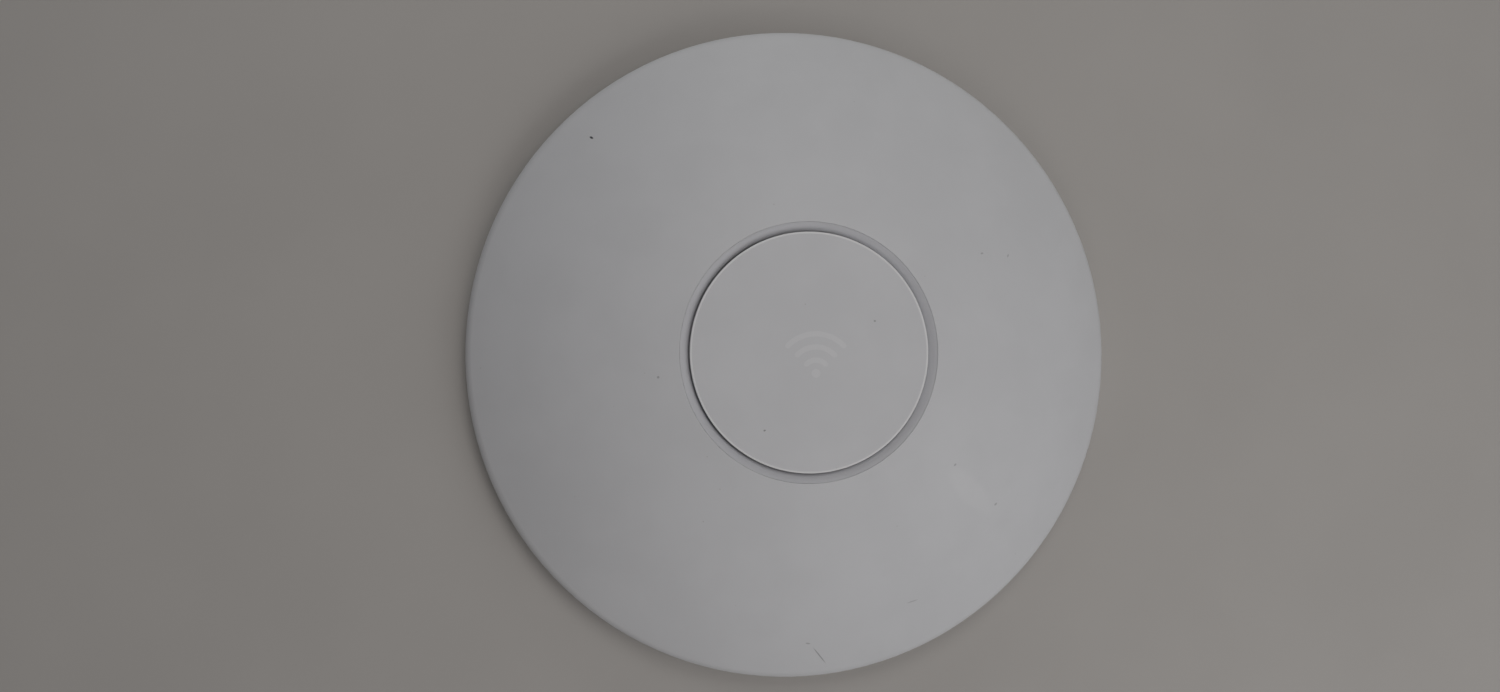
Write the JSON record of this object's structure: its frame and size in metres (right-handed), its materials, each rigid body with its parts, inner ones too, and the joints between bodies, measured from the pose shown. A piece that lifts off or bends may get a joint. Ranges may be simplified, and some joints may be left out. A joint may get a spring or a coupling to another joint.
{
  "type": "ceiling access point",
  "caption": "Round domed wireless access point with a recessed light ring and a flat centre cap, on a twist-lock ceiling bracket.",
  "frame": {"origin": "middle of the bracket's back face, on the ceiling plane", "axes": "+Z away from the ceiling, through the crown of the dome; the Ethernet jack lies towards -Y"},
  "size_m": [0.197, 0.197, 0.035],
  "materials": {
    "dome_plastic": "satin moulded white",
    "housing_plastic": "fine texture white",
    "bracket_plastic": "fine texture white",
    "light_guide": "translucent milky",
    "clear_acrylic": "clear acrylic",
    "screw_steel": "zinc plated",
    "label_paper": "blank adhesive label",
    "circuit_board": "green solder mask",
    "aluminium": "stamped",
    "chip_black": "moulded epoxy",
    "pad_silicone": "soft silicone",
    "tinned_steel": "tin plated",
    "crystal_can": "nickel plated can",
    "jack_plastic": "black nylon",
    "gold_contacts": "gold plated",
    "bobbin_plastic": "black phenolic with tape",
    "ferrite": "sintered ferrite",
    "capacitor_sleeve": "aluminium can",
    "led_lens": "phosphor lens",
    "switch_plastic": "black nylon",
    "switch_stem": "red acetal",
    "carrier_plastic": "black nylon",
    "antenna_metal": "nickel silver",
    "coax_jacket": "fluoropolymer jacket"
  },
  "bodies": {
    "bracket": {"ceiling_bracket": "bracket_plastic"},
    "access_point": {"antenna_carrier_a": "carrier_plastic", "antenna_carrier_b": "carrier_plastic", "antenna_carrier_c": "carrier_plastic", "antenna_coax_a": "coax_jacket", "antenna_coax_b": "coax_jacket", "antenna_coax_c": "coax_jacket", "antenna_element_a": "antenna_metal", "antenna_element_b": "antenna_metal", "antenna_element_c": "antenna_metal", "antenna_screws": "screw_steel", "base_housing": "housing_plastic", "board_screws": "screw_steel", "centre_cap": "dome_plastic", "coax_plugs": "gold_contacts", "coax_sockets": "gold_contacts", "crystals": "crystal_can", "dome_cover": "dome_plastic", "electrolytic_capacitors": "capacitor_sleeve", "ethernet_interface_chip": "chip_black", "ethernet_magnetics": "chip_black", "front_end_chips": "chip_black", "heat_spreader": "aluminium", "heat_spreader_screws": "screw_steel", "housing_screws": "screw_steel", "jack_body": "jack_plastic", "jack_contacts": "gold_contacts", "jack_shield": "tinned_steel", "light_pipes": "clear_acrylic", "light_ring": "light_guide", "main_board": "circuit_board", "memory_chips": "chip_black", "power_inductors": "ferrite", "processor": "chip_black", "radio_chips": "chip_black", "rating_label": "label_paper", "reset_switch_body": "switch_plastic", "shield_frames": "tinned_steel", "shield_lids": "tinned_steel", "status_leds": "led_lens", "thermal_pad": "pad_silicone", "transformer_bobbin": "bobbin_plastic", "transformer_core": "ferrite"},
    "reset_button": {"reset_stem": "switch_stem"}
  },
  "joints": [
    {"name": "twist_lock", "type": "hinge", "parent": "bracket", "child": "access_point", "pos_m": [0, 0, 0], "axis": [0, 0, 1], "range_deg": [0, 15]},
    {"name": "reset_push", "type": "slide", "parent": "access_point", "child": "reset_button", "axis": [0, -1, 0], "range_m": [0, 0.00035], "stiffness_N_per_m": 3200}
  ]
}
